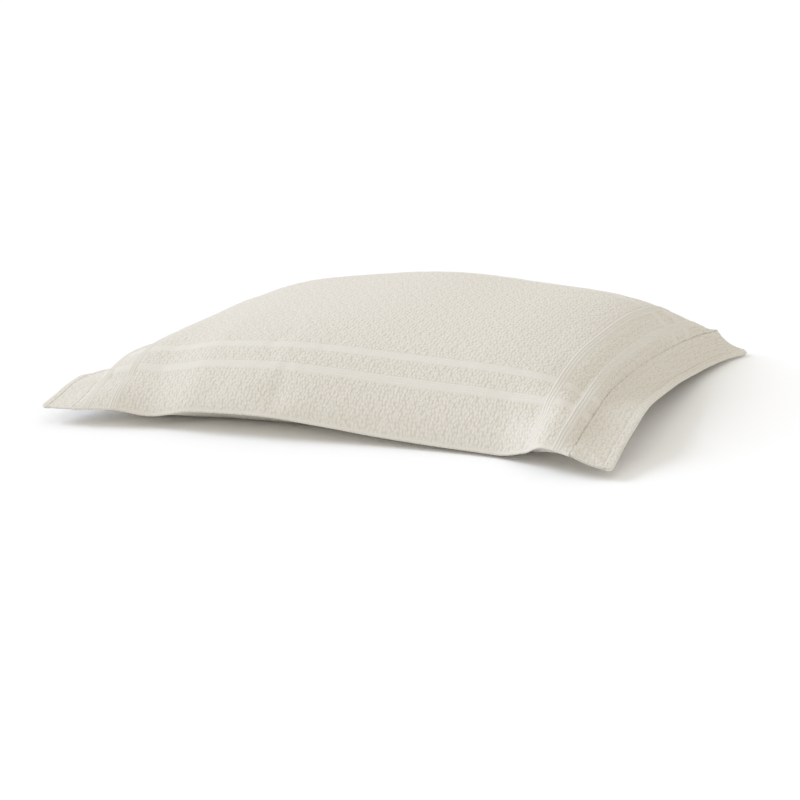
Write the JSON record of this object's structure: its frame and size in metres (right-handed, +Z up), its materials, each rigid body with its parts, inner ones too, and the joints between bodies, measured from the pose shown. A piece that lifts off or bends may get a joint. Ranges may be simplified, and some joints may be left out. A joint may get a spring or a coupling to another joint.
{
  "type": "pillow sham",
  "caption": "Filled pillow sham lying on its back, with a crowned face, a woven frame of plain bands and a flat flange at each short end.",
  "frame": {"origin": "on the surface the sham lies on, under the middle of its box", "axes": "+X along the length, from one flange to the other, +Y from the front long side to the back one, +Z up out of the face"},
  "size_m": [0.7518, 0.5044, 0.1195],
  "materials": {
    "matelasse": "matt pebbled ivory cotton",
    "flange_cloth": "matt pebbled ivory cotton, pressed flat"
  },
  "bodies": {
    "root": {"body": "matelasse", "flange_left": "flange_cloth", "flange_right": "flange_cloth"}
  },
  "joints": []
}
